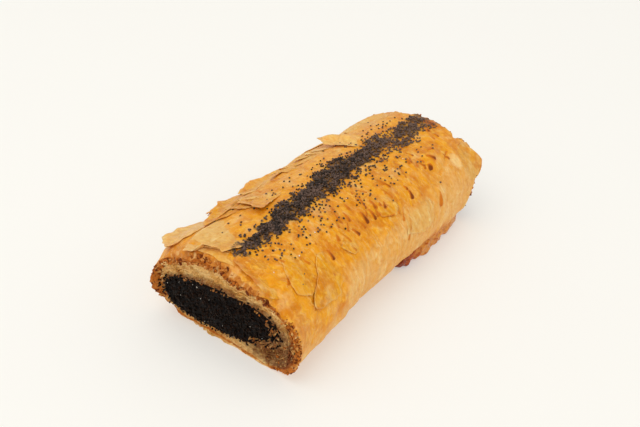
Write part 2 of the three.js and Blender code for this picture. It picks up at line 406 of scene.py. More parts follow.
toasting = {
    "patches": 0.3,
    "crown": 0.18,
    "farCrown": 0.16,
    "foot": 0.42,
    "leak": 0.62,    # above the syrup
    "ends": 0.42,
    "rim": 0.8,      # right of the front cut
    # lipShade: painted shade on the skin under the sheet edges behind the front rim
    "lipShade": 0.4,
}


def skinToast(x, arc):
    side = fromCrest(arc)
    toast = toasting["patches"] * smooth(crumple(x / 9, side / 9, 79), 0.1, 0.8)
    toast = toast + toasting["crown"] * bell(x, -12, 20) * bell(side, 21, 8)
    toast = toast + toasting["farCrown"] * bell(x, 52, 14) * bell(side, 17, 9)
    foot = toasting["foot"] * smooth(np.abs(side), 64, 74)
    leak = toasting["leak"] * bell(x, 34, 15) * smooth(side + 2 * crumple(x / 3, side / 5, 83), 49, 58)
    ends = toasting["ends"] * smooth(np.abs(x), 65, 69.5) * smooth(crumple(x / 3, side / 3, 89), -0.3, 0.5)
    rim = toasting["rim"] * smooth(-x, 65.5, 69.5) * between(side, 33, 42, 60, 68)
    rim = rim * (0.8 + 0.6 * crumple(x / 2, side / 2.5, 85))
    # painted shade under the sheet edges behind the front rim, laid in as toast
    lipShade = toasting["lipShade"] * frontLip(x, side)
    return np.clip(np.maximum.reduce([toast, foot, leak, ends, rim, lipShade]), 0, 1.1)


def skinMarks(x, arc):    # browning along each streak, which is narrow at its upper end
    side = fromCrest(arc)
    mark = 0 * side
    for x0, arc0, x1, arc1, half, strength in allStreaks:
        away, share = fromLine(x, side, x0, arc0, x1, arc1)
        away = away / (half * (0.65 + 0.35 * share))
        mark = np.maximum(mark, strength * (0.6 + 0.36 * share) * (1 - 0.4 * away**2))
    return mark


drying = {
    "left": 0.42,
    "lowLeft": 0.3,
    "farRight": 0.5,
    "flank": 0.9,
    "foot": 0.6,
    "patches": 0.35,
}


def skinDry(x, arc):
    side = fromCrest(arc)
    left = drying["left"] * smooth(-side, 2, 12) + drying["lowLeft"] * smooth(-side, 26, 42)
    farRight = drying["farRight"] * smooth(x, 20, 50) * smooth(side, 14, 30)
    flank = drying["flank"] * smooth(side, 27, 42) * smooth(x, -48, -26)
    foot = drying["foot"] * smooth(side, 40, 56)
    patches = drying["patches"] * crumple(x / 11, side / 11, 97)
    return np.clip(np.maximum.reduce([left, farRight, flank, foot]) + patches, 0, 1)


paling = {
    "spot": 0.75,
    # painted highlights on the crests of the flank's pleats
    "crestHighlights": 0.12,
    "clouds": 0.3,
    "farLeft": 0.14,
}


def skinPale(x, arc):
    side = fromCrest(arc)
    offSpot = np.hypot((x - 57.5) / 3.2, (side - 31.5) / 4) + 0.3 * softNoise(x / 2, side / 2, 103)
    pale = paling["spot"] * (1 - smooth(offSpot, 0.4, 1.2))
    # the pleat crests get a painted highlight
    pale = pale + paling["crestHighlights"] * smooth(pleats(x, side), 0.05, 0.6)
    pale = pale + paling["clouds"] * smooth(crumple(x / 6, side / 6, 107), 0.25, 0.7)
    pale = pale + paling["farLeft"] * smooth(-side, 3, 12) * smooth(x, -30, 30)
    return np.clip(pale, 0, 1)


def skinSeeded(x, arc):
    return stripCover(x, fromCrest(arc)) * stripThin(x)


# mesh help

def deselectAll():
    bpy.ops.object.select_all(action="DESELECT")


def startFrom(primitive, **settings):
    deselectAll()
    primitive(**settings)
    return bpy.context.object


def readPoints(piece):
    points = np.zeros(3 * len(piece.data.vertices))
    piece.data.vertices.foreach_get("co", points)
    return points.reshape(-1, 3)


def startGrid(columns, rows):    # a flat grid, and where its vertices are across it, from -1 to 1
    counts = {"x_subdivisions": columns, "y_subdivisions": rows}
    piece = startFrom(bpy.ops.mesh.primitive_grid_add, size=2, **counts)
    return piece, *readPoints(piece).T[:2]


def movePoints(piece, points):
    piece.data.vertices.foreach_set("co", np.ascontiguousarray(points).ravel())
    piece.data.update()


def addValues(piece, name, values):
    stored = piece.data.attributes.new(name, "FLOAT", "POINT")
    each = np.broadcast_to(np.ravel(values), len(piece.data.vertices))
    stored.data.foreach_set("value", each.astype(np.float32))


def addPlaces(piece, x, arc, depth):    # places on the roll, in metres, for patterns that follow it
    stored = piece.data.attributes.new("place", "FLOAT_VECTOR", "POINT")
    vectors = np.stack(np.broadcast_arrays(x * mm, arc * mm, depth * mm), axis=-1)
    stored.data.foreach_set("vector", vectors.astype(np.float32).ravel())


def addSkinValues(piece, x, arc, browner=0.0, drier=0.0, paler=0.0, broken=0.0, deepest=2.0):
    addValues(piece, "toast", np.clip(skinToast(x, arc) + browner, 0, 1.1))
    addValues(piece, "dry", np.clip(skinDry(x, arc) + drier, 0, 1))
    addValues(piece, "pale", np.clip(skinPale(x, arc) + paler, 0, 1))
    addValues(piece, "seeded", skinSeeded(x, arc))
    addValues(piece, "broken", broken)
    addValues(piece, "mark", np.minimum(skinMarks(x, arc), deepest))


def addCrumbValues(piece, sear, lamina, moist):
    addValues(piece, "sear", sear)
    addValues(piece, "lamina", lamina)
    addValues(piece, "moist", moist)


def pickOnly(piece):
    deselectAll()
    piece.select_set(True)
    bpy.context.view_layer.objects.active = piece


def applyModifier(piece, kind, **settings):
    pickOnly(piece)
    modifier = piece.modifiers.new(kind.lower(), kind)
    for name, value in settings.items():
        setattr(modifier, name, value)
    bpy.ops.object.modifier_apply(modifier=modifier.name)


def joinAll(pieces):
    deselectAll()
    for piece in pieces:
        piece.select_set(True)
    bpy.context.view_layer.objects.active = pieces[0]
    bpy.ops.object.join()
    return pieces[0]


def finishPiece(piece, name, slot, *materials):
    piece.name = name
    piece.data.name = name
    piece.data.materials.clear()
    for material in materials:
        piece.data.materials.append(material)
    pickOnly(piece)
    bpy.ops.object.shade_smooth()
    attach(piece, "root")
    print(name, "has", sum(len(p.vertices) - 2 for p in piece.data.polygons), "triangles")


# shader help

class Wire:
    def __init__(self, tree, socket=None):
        self.tree = tree
        self.socket = socket

    def make(self, kind, settings=None, sockets=None, out=0):
        node = self.tree.nodes.new(kind)
        for name, value in (settings or {}).items():
            setattr(node, name, value)
        for key, value in (sockets or {}).items():
            if isinstance(value, Wire):
                self.tree.links.new(value.socket, node.inputs[key])
            else:
                node.inputs[key].default_value = value
        return Wire(self.tree, node.outputs[out]) if len(node.outputs) else node

    def math(self, operation, a, b=0.0):
        return self.make("ShaderNodeMath", {"operation": operation}, {0: a, 1: b})

    def __add__(self, other):
        return self.math("ADD", self, other)

    __radd__ = __add__

    def __sub__(self, other):
        return self.math("SUBTRACT", self, other)

    def __rsub__(self, other):
        return self.math("SUBTRACT", other, self)

    def __mul__(self, other):
        return self.math("MULTIPLY", self, other)

    __rmul__ = __mul__


def colour(text):    # a screen colour such as e8a33c, as the linear colour that a socket takes
    parts = [int(text[i:i + 2], 16) / 255 for i in (0, 2, 4)]
    return (*[p / 12.92 if p < 0.04045 else ((p + 0.055) / 1.055) ** 2.4 for p in parts], 1)


def newMaterial(name):
    material = bpy.data.materials.new(name)
    material.use_nodes = True
    material.node_tree.nodes.clear()
    return material, Wire(material.node_tree)


def fade(value, low, high):
    settings = {"interpolation_type": "SMOOTHSTEP", "clamp": True}
    sockets = {"Value": value, "From Min": low, "From Max": high}
    return value.make("ShaderNodeMapRange", settings, sockets)


def blend(share, a, b):
    settings = {"data_type": "RGBA", "clamp_factor": True}
    return share.make("ShaderNodeMix", settings, {0: share, 6: a, 7: b}, out=2)


def layered(base, tones, layers):    # each layer's tone laid over what is below it, by its share
    for name, share in layers:
        base = blend(share, base, tones[name])
    return base


def attribute(wire, name):
    return wire.make("ShaderNodeAttribute", {"attribute_name": name}, out=2)


def objectSpot(wire):
    return wire.make("ShaderNodeTexCoord", out=3)


def places(wire, scale=(1, 1, 1)):
    spot = wire.make("ShaderNodeAttribute", {"attribute_name": "place"}, out=1)
    return wire.make("ShaderNodeMapping", {}, {"Vector": spot, "Scale": scale})


def noise(spot, scale, detail=4.0, rough=0.55, warp=0.0):
    sockets = {"Vector": spot, "Scale": scale, "Detail": detail, "Roughness": rough, "Distortion": warp}
    return spot.make("ShaderNodeTexNoise", {}, sockets)


def threads(value, wide):    # thin lines where a noise crosses its middle
    return 1 - fade(value.math("ABSOLUTE", value - 0.5), 0, wide)


def bumps(height, strength, distance):
    sockets = {"Strength": strength, "Distance": distance, "Height": height}
    return height.make("ShaderNodeBump", {}, sockets)


def finishShader(wire, sockets):
    shader = wire.make("ShaderNodeBsdfPrincipled", {}, sockets)
    wire.make("ShaderNodeOutputMaterial", {}, {"Surface": shader})


crust = {
    "golden": colour("e79910"),
    "amber": colour("d57f0c"),
    "yellow": colour("f3b534"),
    "dry": colour("e6a854"),
    "cream": colour("f9dc9c"),
    "toasted": colour("cf6f0a"),
    "scorched": colour("783004"),
    "seeded": colour("553a24"),
    "bare": colour("c87a2c"),
    "crumbs": colour("e4b474"),
    "burnt": colour("8c3d10"),
}


def makeCrust():    # buttered skin: golden, drier and paler in places, toasted and streaked in others, with painted highlights on fine crests and painted shade in fine creases
    material, wire = newMaterial("golden_crust")
    names = ("toast", "dry", "pale", "seeded", "broken", "mark")
    toast, dry, pale, seeded, broken, mark = [attribute(wire, name) for name in names]
    around = wire.make("ShaderNodeSeparateXYZ", {}, {"Vector": places(wire)}, out=1)
    flaky = fade(around, 0.004, -0.004)
    cloudy = noise(places(wire), 130, 5, 0.6, 0.2)
    patchy = noise(places(wire, (1, 0.55, 1)), 480, 5, 0.65, 0.1)
    rounds = noise(places(wire, (1, 0.4, 1)), 430, 5, 0.6)     # marks drawn round the roll
    lengths = noise(places(wire, (0.2, 1, 1)), 480, 5, 0.6)    # marks drawn along it
    speck = noise(places(wire), 2100, 3, 0.6)
    mottle = noise(places(wire, (1, 0.7, 1)), 700, 4, 0.65)
    drawn = rounds + flaky * (lengths - rounds)
    # crestHighlights: thin crests of the skin that get a painted highlight
    crestHighlights = threads(noise(places(wire, (1, 0.3, 1)), 210, 3, 0.5, 0.5), 0.045) * fade(cloudy, 0.56, 0.44)
    # shadedCreases: thin creases that get painted shade
    shadedCreases = threads(noise(places(wire, (1, 0.3, 1)), 240, 4, 0.6), 0.012) * fade(cloudy, 0.42, 0.56)
    dried = fade(dry + (cloudy - 0.5) * 0.8 + (patchy - 0.5) * 0.7, 0.2, 0.95)
    # the creases darken the browning as painted shade
    brown = toast + (patchy - 0.5) * 0.5 + (speck - 0.5) * 0.2 + shadedCreases * 0.28
    marked = mark + (patchy - 0.5) * 0.2 + (speck - 0.5) * 0.16
    base = layered(crust["golden"], crust, [
        ("amber", fade(cloudy, 0.42, 0.62)),
        ("yellow", fade(patchy, 0.5, 0.68) * 0.75),
        ("dry", dried),
        ("cream", pale * 0.8 + fade(drawn, 0.53, 0.7) * (0.16 + dried * 0.34)),
        # cream on the crests is a painted highlight
        ("cream", fade(mottle, 0.5, 0.72) * 0.2 + crestHighlights * (1 - flaky) * (0.2 + dried * 0.16)),
        ("amber", fade(mottle, 0.5, 0.3) * 0.5),
        ("toasted", fade(brown, 0.2, 0.75) * 0.9),
        ("toasted", fade(marked, 0.2, 0.5)),
        ("scorched", wire.math("MAXIMUM", fade(brown, 0.78, 1.05), fade(marked, 0.55, 0.9))),
        ("seeded", fade(seeded + (speck - 0.5) * 0.45, 0.22, 0.7) * 0.9),
    ])
    ragged = noise(places(wire), 480, 4, 0.65)
    bare = layered(crust["bare"], crust, [
        ("crumbs", fade(ragged, 0.5, 0.66) * 0.8),
        ("burnt", fade(cloudy + (ragged - 0.5) * -0.9, 0.56, 0.7)),
    ])
    base = blend(fade(broken + (ragged - 0.5) * 0.5, 0.35, 0.65), base, bare)
    relief = drawn + mottle * 0.7 + speck * 0.3 + crestHighlights * 0.5 - shadedCreases * 0.6 + broken * ragged
    finishShader(wire, {
        "Base Color": base,
        "Roughness": 0.28 + dry * 0.2 + drawn * 0.16,
        "Normal": bumps(relief, 0.55, 0.0006),
        "Specular IOR Level": 0.42,
        "Specular Tint": (1.0, 0.76, 0.28, 1),
        "Subsurface Weight": 0.12,
        "Subsurface Radius": (1.0, 0.4, 0.1),
        "Subsurface Scale": 0.0022,
    })
    return material


crumb = {
    "pale": colour("f6cd88"),
    "honey": colour("e0a858"),
    "tan": colour("b06f30"),
    "brown": colour("7d471a"),
    "toasted": colour("bd6a22"),
    "scorched": colour("64270c"),
    "moist": colour("622810"),
}


def makeCrumb():    # the cut: pressed pale layers inside a toasted edge
    material, wire = newMaterial("cut_pastry")
    sear, lamina, moist = [attribute(wire, name) for name in ("sear", "lamina", "moist")]
    spot = objectSpot(wire)
    cloudy = noise(spot, 210, 4, 0.6)
    grain = noise(spot, 760, 5, 0.65)
    fleck = noise(spot, 1700, 3, 0.6)
    blotch = noise(spot, 900, 2, 0.5)
    base = layered(crumb["pale"], crumb, [
        ("honey", fade(cloudy, 0.38, 0.64)),
        ("tan", fade(lamina + (grain - 0.5) * 1.8, 0.35, 1.1) * 0.42),
        ("tan", fade(blotch, 0.54, 0.68) * 0.45),
        ("pale", fade(blotch, 0.44, 0.32) * 0.5),
        ("brown", fade(fleck + (cloudy - 0.5) * 0.6, 0.55, 0.74) * 0.6),
        ("toasted", fade(sear + (grain - 0.5) * 0.9, 0.3, 0.75)),
        ("scorched", fade(sear + (fleck - 0.5) * 1.1 + (cloudy - 0.5) * 0.8, 0.85, 1.2)),
        ("moist", fade(moist + (grain - 0.5) * 0.9, 0.3, 1.1) * 0.85),
    ])
    finishShader(wire, {
        "Base Color": base,
        "Roughness": 0.6 + grain * 0.2,
        "Normal": bumps(grain + fleck * 0.5 + blotch * 0.4, 0.75, 0.0006),
        "Specular IOR Level": 0.25,
        "Specular Tint": (1.0, 0.8, 0.5, 1),
        "Subsurface Weight": 0.1,
        "Subsurface Radius": (1.0, 0.5, 0.2),
        "Subsurface Scale": 0.0018,
    })
    return material


paste = {
    "dark": colour("080606"),
    "brown": colour("22150f"),
}


def makePaste():    # the body of the filling, under its grains
    material, wire = newMaterial("poppy_paste")
    grain = noise(objectSpot(wire), 1300, 4, 0.6)
    finishShader(wire, {
        "Base Color": blend(fade(grain, 0.42, 0.8), paste["dark"], paste["brown"]),
        "Roughness": 0.4 + grain * 0.3,
        "Normal": bumps(grain, 0.8, 0.0005),
        "Specular IOR Level": 0.12,
    })
    return material


seedCoats = {    # dark and light tone, roughness, shine
    "filling_seed": (colour("060302"), colour("261309"), 0.25, 0.12),
    "topping_seed": (colour("150f0e"), colour("6c554a"), 0.4, 0.32),
}


def makeSeedCoat(name):    # pitted, each seed with its own tone
    material, wire = newMaterial(name)
    dark, light, rough, shine = seedCoats[name]
    pits = wire.make("ShaderNodeTexVoronoi", {}, {"Vector": objectSpot(wire), "Scale": 6500})
    finishShader(wire, {
        "Base Color": blend(attribute(wire, "tone") + (pits - 0.4) * 0.5, dark, light),
        "Roughness": rough + pits * 0.2,
        "Normal": bumps(pits, 0.4, 0.0001),
        "Specular IOR Level": shine,
        "Specular Tint": (1.0, 0.85, 0.7, 1),
    })
    return material


glaze = {
    "honey": colour("d8923e"),
    "amber": colour("a8480c"),
    "burnt": colour("7a2206"),
}


def makeGlaze():    # syrup that browned to a glassy crust
    material, wire = newMaterial("browned_syrup")
    toast = attribute(wire, "toast")
    grain = noise(objectSpot(wire), 620, 5, 0.65)
    finishShader(wire, {
        "Base Color": layered(glaze["honey"], glaze, [
            ("amber", fade(toast + (grain - 0.5) * 1.3, 0.1, 0.6)),
            ("burnt", fade(toast + (grain - 0.5) * 1.8, 0.6, 1.05)),
        ]),
        "Roughness": 0.16 + grain * 0.25,
        "Normal": bumps(grain, 0.5, 0.0006),
        "Coat Weight": 0.15,
        "Coat Roughness": 0.1,
        "Specular Tint": (1.0, 0.7, 0.4, 1),
        "Subsurface Weight": 0.15,
        "Subsurface Radius": (1.0, 0.3, 0.1),
        "Subsurface Scale": 0.0015,
    })
    return material


sugarGlintTones = {
    "clear": colour("fffaf0"),
    "frosted": colour("eadcc4"),
}


def makeSugarGlintCoat():    # clear crystal, a little frosted; the white grains also stand in as painted glints
    material, wire = newMaterial("sugar_glint_crystal")
    frost = noise(objectSpot(wire), 2600, 3, 0.6)
    finishShader(wire, {
        "Base Color": blend(frost, sugarGlintTones["clear"], sugarGlintTones["frosted"]),
        "Roughness": 0.1 + frost * 0.3,
        "Normal": bumps(frost, 0.3, 0.0002),
        "Specular IOR Level": 0.6,
        "Subsurface Weight": 0.3,
        "Subsurface Radius": (1.0, 1.0, 1.0),
        "Subsurface Scale": 0.0006,
    })
    return material


crustMaterial = makeCrust()
crumbMaterial = makeCrumb()
pasteMaterial = makePaste()
grainMaterial = makeSeedCoat("filling_seed")
toppingMaterial = makeSeedCoat("topping_seed")
syrupMaterial = makeGlaze()
sugarGlintMaterial = makeSugarGlintCoat()
print("materials are ready")


# the cuts at both ends

cut = {
    "rag": 0.9,
    "hollow": 1.1,      # the crumb between crust and filling sinks back a little
    "layer": 1.5,       # one pressed layer to the next
    "layerDeep": 0.4,
    "crumbDeep": 0.5,
    "crustTop": 1.9,    # the toasted edge is thick on top and thin below
    "crustLow": 1.3,
    "crustRight": 3.8,
    "crustLeft": 2.4,
    "soaked": 1.15,
}

frontReach = [    # arc, how far the front rim stands forward of the cut
    (-95, 1.3), (-90, 0.8), (-86, 0.2), (-78, -0.5), (-70, -0.8), (-64, -1.8), (-56, 0.2), (-50, 2.8),
    (-44, 1.6), (-36, 0.8), (30, 0.3), (48, 0.6), (54, 1.4), (60, 2.4), (66, 2.5), (74, 1.9), (82, 1.4),
    (90, 1.1), (95, 1.3),
]

backReach = [    # arc, how far the back rim stands out, with a notch and a lower corner that is worn away
    (-95, -2), (-60, -1), (-30, 0), (-10, 0.6), (0, 1.4), (20, 1.0), (22.5, -1.6), (25.5, 1.2),
    (32, 1.6), (38, 4.4), (41, 3), (44, -0.6), (47, -2), (50, -4.4), (56, -7.6), (62, -8.6), (75, -5),
    (95, -2),
]

cutEnds = {    # how fast a rim's reach falls off inward, and where its noises are drawn
    -1: {"lean": roll["frontLean"], "reach": frontReach, "fall": 1.5, "seed": 101},
    1: {"lean": roll["backLean"], "reach": backReach, "fall": 1, "seed": 211},
}


def layerPhase(arc, inward, seed):
    return inward / cut["layer"] + 0.9 * crumple(arc / 9, inward / 4, seed + 3)


def cutPlace(end, arc, y, z, depth, inward):    # x of the cut's face, at the front (-1) or the back (1)
    own = cutEnds[end]
    seed, side = own["seed"], fromCrest(arc)
    still = 1 - smooth(depth, 0.85, 1)    # nothing stirs at the filling's edge
    calm = 1 - 0.75 * smooth(np.abs(side), 62, 74)    # the underside was baked flat
    rag = calm * (softNoise(arc / 4.2, 0 * arc, seed) + 0.6 * softNoise(arc / 1.4, 0 * arc, seed + 1))
    out = fromTable(side, own["reach"]) * np.maximum(1 - depth, 0) ** own["fall"]
    out = out + cut["rag"] * rag * (1 - depth) ** 3
    waves = np.sin(2 * np.pi * layerPhase(arc, inward, seed)) * smooth(inward, 0.5, 2)
    rough = cut["layerDeep"] * waves + cut["crumbDeep"] * crumple(y / 1.2, z / 1.2, seed + 2)
    out = out + rough * still - cut["hollow"] * between(depth, 0.15, 0.5, 0.75, 1)
    return end * (halfLong + out) + own["lean"] * (z - roll["height"] / 2)


def sectionAt(nominal, arc, depth):    # y and z in the section, and how far in from the skin that is
    flat = onRoll(nominal, arc, skinHeight(nominal, arc))
    tunnelY, tunnelZ = coreEdge(flat[..., 1], flat[..., 2], 0.3)
    inward = depth * np.hypot(flat[..., 1] - tunnelY, flat[..., 2] - tunnelZ)
    return mix(flat[..., 1], tunnelY, depth), mix(flat[..., 2], tunnelZ, depth), inward


def crustShare(arc, y, z, inward, seed):
    side = fromCrest(arc)
    deep = mix(cut["crustTop"], cut["crustLow"], smooth(np.abs(side + 4), 34, 62))
    deep = deep + cut["crustRight"] * bell(side, 54, 13) + cut["crustLeft"] * bell(side, -50, 7)
    deep = deep * (1 + 0.45 * crumple(arc / 5, 0 * arc, seed + 4))
    clumps = 0.7 + 0.55 * smooth(crumple(y / 1.8, z / 1.8, 131), 0.0, 0.6)
    below = smooth(np.abs(side - 2), 66, 72)    # the underside stays golden, with a toasted line above it
    line = 0.7 * below * bell(inward, 1.3, 0.5)
    return (1 - smooth(inward, 0.55 * deep, 1.25 * deep)) * clumps * (1 - 0.8 * below) + line


soakedCorner = [    # arc, how wet
    (-94, 0.25), (-82, 0), (31, 0), (38, 0.5), (48, 0.65), (56, 0.9), (66, 0.95), (75, 0.65),
    (84, 0.45), (94, 0.25),
]


def moistShare(arc, depth, inward):    # soaked next to the filling and at the lower right
    corner = fromTable(fromCrest(arc), soakedCorner) * smooth(inward, 0.3, 3)
    corner = corner * (1 + 0.35 * crumple(arc / 3, inward / 2.5, 137))
    return np.maximum(smooth(depth, 0.55, 0.98), cut["soaked"] * corner)


rollMesh = {
    "girth": 188.36,
    "arcs": [    # from, to, step, for that girth
        (-94.18, -66, 2.2), (-66, -40, 1.0), (-40, 48, 0.52), (48, 66, 0.8), (66, 94.18, 2.2),
    ],
    "skin": [(-69, -55, 0.5), (-55, 10, 0.7), (10, 69, 0.8)],    # from, to, step in x
    "cutRings": 28,
    "tunnelRings": 4,
    "wornLip": 0.52,
    "streakTint": 0.3,    # the skin is only tinted at a streak, whose blister shows the rest
}


def spaced(spans):
    runs = []
    for low, high, step in spans:
        runs.append(np.linspace(low, high, round((high - low) / step), endpoint=False))
    return np.concatenate(runs)


def makeRoll():
    arcs = spaced(rollMesh["arcs"]) * girth / rollMesh["girth"]
    skinSteps = (spaced(rollMesh["skin"]) + halfLong) / roll["length"]
    cutSteps = np.arange(rollMesh["cutRings"]) / rollMesh["cutRings"]
    tunnelSteps = np.arange(rollMesh["tunnelRings"]) / rollMesh["tunnelRings"]
    along = np.concatenate([skinSteps, 0 * cutSteps + 1, 1 - tunnelSteps, 0 * cutSteps])
    depth = np.concatenate([0 * skinSteps, cutSteps, 0 * tunnelSteps + 1, 1 - cutSteps])
    counts = {"major_segments": len(arcs), "minor_segments": len(along)}
    piece = startFrom(bpy.ops.mesh.primitive_torus_add, **counts)
    arc, along = np.meshgrid(arcs, along, indexing="ij")
    depth = np.broadcast_to(depth, arc.shape)
    nominal = mix(-halfLong, halfLong, along)
    marked = nominal
    for _ in range(2):    # the second time, the skin's marks keep their x where the back rim stands out
        y, z, inward = sectionAt(marked, arc, depth)
        front, back = [cutPlace(end, arc, y, z, depth, inward) for end in (-1, 1)]
        x = mix(front, back, along)
        marked = mix(nominal, x, smooth(nominal, -60, -40) * (1 - smooth(depth, 0, 0.3)))
    movePoints(piece, toFrame(np.stack([x, y, z], axis=-1)).reshape(-1, 3))
    broken = np.maximum(frontBreak(nominal, arc), rollMesh["wornLip"] * frontLip(nominal, arc))
    addSkinValues(piece, marked, arc, broken=broken, deepest=rollMesh["streakTint"])
    seed = np.where(along > 0.5, cutEnds[1]["seed"], cutEnds[-1]["seed"])
    lamina = 0.5 + 0.5 * np.sin(2 * np.pi * layerPhase(arc, inward, seed))
    addCrumbValues(piece, crustShare(arc, y, z, inward, seed), lamina, moistShare(arc, depth, inward))
    addPlaces(piece, marked, arc, inward)
    finishPiece(piece, "pastry_roll", "baked_pastry", crustMaterial, crumbMaterial)
    isCut = np.zeros(arc.shape, np.int32)
    isCut[:, len(skinSteps):] = 1
    piece.data.polygons.foreach_set("material_index", isCut.ravel())
    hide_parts("pastry")


makeRoll()


# loose sheets, each a ring of x, arc and lift off the skin; a negative lift grows the sheet into the skin

sheet = {
    "thick": 0.2,
    "cell": 0.6,
    "ragged": 0.2,
    "curl": 0.22,
    "clear": 0.2,        # off the skin in the middle
    "plyGap": 0.12,
    "plyInset": 0.07,
    "plyDrop": 0.4,
    "perSide": 14,
    "draw": 300,
}

looseSheets = [    # how much browner, drier and paler than the skin around, plies below one another, ring
    ((-0.1, -0.5, 0.4), 2, [
        (-69, -28, 1.4), (-67, -25.5, 1), (-64, -23.5, 0.8), (-60.5, -21.5, 0.5), (-53.5, -21.5, 0),
        (-47, -24, -0.4), (-44, -30, -0.2), (-46, -33, 1), (-50, -34, 1.8), (-55, -35, 3),
        (-58, -35.5, 3.6), (-62.5, -35.5, 4.2), (-66, -32.5, 3)]),
    ((-0.2, 0.4, 0.2), 2, [
        (-70.5, -10.5, 1.4), (-68.5, -10, 1.9), (-67, -9.5, 2.4), (-66, -7.5, 2.4), (-65, -5, 2.2),
        (-64.5, -2.5, 2), (-65, -1, 1.6), (-63, 0, 1.6), (-60.5, 1.5, 1.3), (-58, 3, 0.8),
        (-53, -0.5, -0.3), (-49.5, -7, -0.5), (-42.5, -14.5, -0.5), (-41, -21, -0.4), (-49, -21, 0.2),
        (-57.5, -19, 0.3), (-65, -18.5, 0.4), (-70.5, -15.5, 0.6)]),
    ((0.04, -0.5, 0), 2, [
        (-33.5, -32, 3.6), (-28, -33.5, 1.7), (-20.5, -32, 0.4), (-19, -25, -0.5), (-29, -17, -0.5),
        (-36.5, -15, -0.2), (-39.5, -19.5, 0.9), (-45, -19.5, 1), (-53.5, -21, 1), (-50.5, -24, 1.5),
        (-46, -26, 1.6), (-42.5, -27, 1.8), (-44.5, -29, 2.6), (-40, -29, 2.2), (-36, -30, 2.2)]),
    ((0, -0.4, 0.1), 2, [
        (-22, -33, 1.4), (-18, -33.5, 2.6), (-14, -34, 3.4), (-11.5, -34, 3.6), (-8.5, -34, 3),
        (-5, -34, 2.2), (2, -33, 1.6), (10, -31, 0.3), (-3, -20, -0.5), (-14, -20, -0.4),
        (-24, -26, 0.3)]),
    ((0.05, -0.4, 0.05), 1, [
        (-35, -20.5, 1), (-36, -14.5, 1.6), (-37, -10, 2), (-37, -7, 2.2), (-35, -6, 1.8), (-30, -7, 1),
        (-23.5, -8, 0.2), (-15.5, -11, -0.5), (-17.5, -17.5, -0.5), (-22.5, -22, -0.4),
        (-29.5, -22, 0.2)]),
    ((0, -0.3, 0.3), 1, [
        (27, -25, 4.6), (31.5, -22.5, 4), (34.5, -19.5, 3), (38, -11, 0.6), (38.5, -8, -0.4),
        (34, -6, -0.4), (30.5, -6.5, 0.2), (28, -11, 0.8), (25.5, -14.5, 1.4), (25.5, -17.5, 1.8),
        (24.5, -19.5, 2.6)]),
    ((0.05, 0, 0.1), 1, [
        (46, -26, 0.8), (56, -24, 1), (66, -21, 1.2), (69, -17, 0.9), (66, -12, 0.3), (58, -10, -0.4),
        (48, -14, -0.5), (44, -20, -0.3)]),
    ((0.2, 0, 0), 2, [
        (-65.5, 4.5, 0.9), (-67, 8.5, 1.2), (-68.5, 13, 1.3), (-69.5, 18, 1.2), (-70, 22, 0.8),
        (-70, 25, 0.3), (-66, 29, -0.4), (-60, 24, -0.5), (-57, 14, -0.5), (-58, 4, -0.5)]),
    ((0, 0, 0), 1, [
        (-3, -28, 0.7), (0, -33, 0.8), (12, -33.5, 0.5), (22, -33, 0.5), (30, -30, 0.1),
        (22, -17, -0.5), (4, -16, -0.5), (-2, -20, 0.3)]),
    ((0, 0, 0), 1, [
        (-58, -36, 0.6), (-40, -40, 1.6), (-20, -42, 1.4), (-6, -40, 0.5), (-12, -30, -0.5),
        (-50, -29, -0.5)]),
    ((0.05, 0, 0), 1, [
        (4, -40, 1.3), (24, -43, 1.8), (44, -41, 1.2), (58, -36, 0.3), (44, -29, -0.5),
        (10, -30, -0.5)]),
    ((0, 0, 0), 1, [
        (-55, 17.7, 0.15), (-58, 22.6, 0.3), (-60, 26.9, 0.5), (-60.5, 30.9, 0.7), (-58, 32.6, 0.7),
        (-55.5, 34.6, 0.6), (-52, 34, 0.1), (-46, 29.5, -0.3), (-42, 24, -0.4), (-45, 18, -0.5),
        (-50, 15, -0.3)]),
    ((0, 0, 0), 1, [
        (-41, 24, 0.3), (-45, 26.6, 0.4), (-47, 28.7, 0.45), (-50.5, 32.4, 0.5), (-54.5, 35, 0.6),
        (-57, 38, 0.8), (-55.5, 39.8, 0.9), (-53, 41, 0.8), (-49, 40.4, 0.5), (-45.5, 41.5, 0.3),
        (-38, 41, -0.4), (-32, 34, -0.5), (-34, 26, -0.5)]),
    ((0.05, 0, 0), 1, [
        (-30, 27.5, 0.3), (-30, 29, 0.5), (-29.5, 30.5, 0.6), (-28.5, 32, 0.6), (-26.5, 33.5, 0.3),
        (-21.5, 33.5, -0.4), (-19.5, 29.5, -0.5), (-23.5, 26, -0.4)]),
    ((0.05, 0, 0), 1, [
        (-3, 29, 0.4), (0, 31, 0.6), (4, 32.2, 0.5), (9, 30, 0), (12, 24, -0.4), (6, 20, -0.5),
        (-1, 23, -0.2)]),
    ((0.1, 0.1, 0), 2, [
        (70, 26, 0.3), (71.5, 32, 0.8), (74, 38, 1.0), (71.5, 42, 0.8), (68, 45, 0.3), (60, 44, -0.4),
        (56, 36, -0.5), (60, 28, -0.4)]),
    ((0, 0, 0), 1, [
        (6, 42, 0.5), (16, 46, 0.9), (25, 45, 0.7), (29, 39, 0.2), (25, 32, -0.5), (10, 34, -0.5)]),
    ((-0.2, 0.5, 0.15), 1, [
        (-66.5, -25, -0.2), (-67.5, -20, -0.1), (-67, -15, 0), (-68, -10, 0), (-67, -5, 0),
        (-68, 0, -0.1), (-67, 5, -0.1), (-65.5, 10, -0.2), (-61, 11, -0.5), (-57, 4, -0.5),
        (-56, -8, -0.5), (-58, -20, -0.5), (-62, -26, -0.4)]),
]


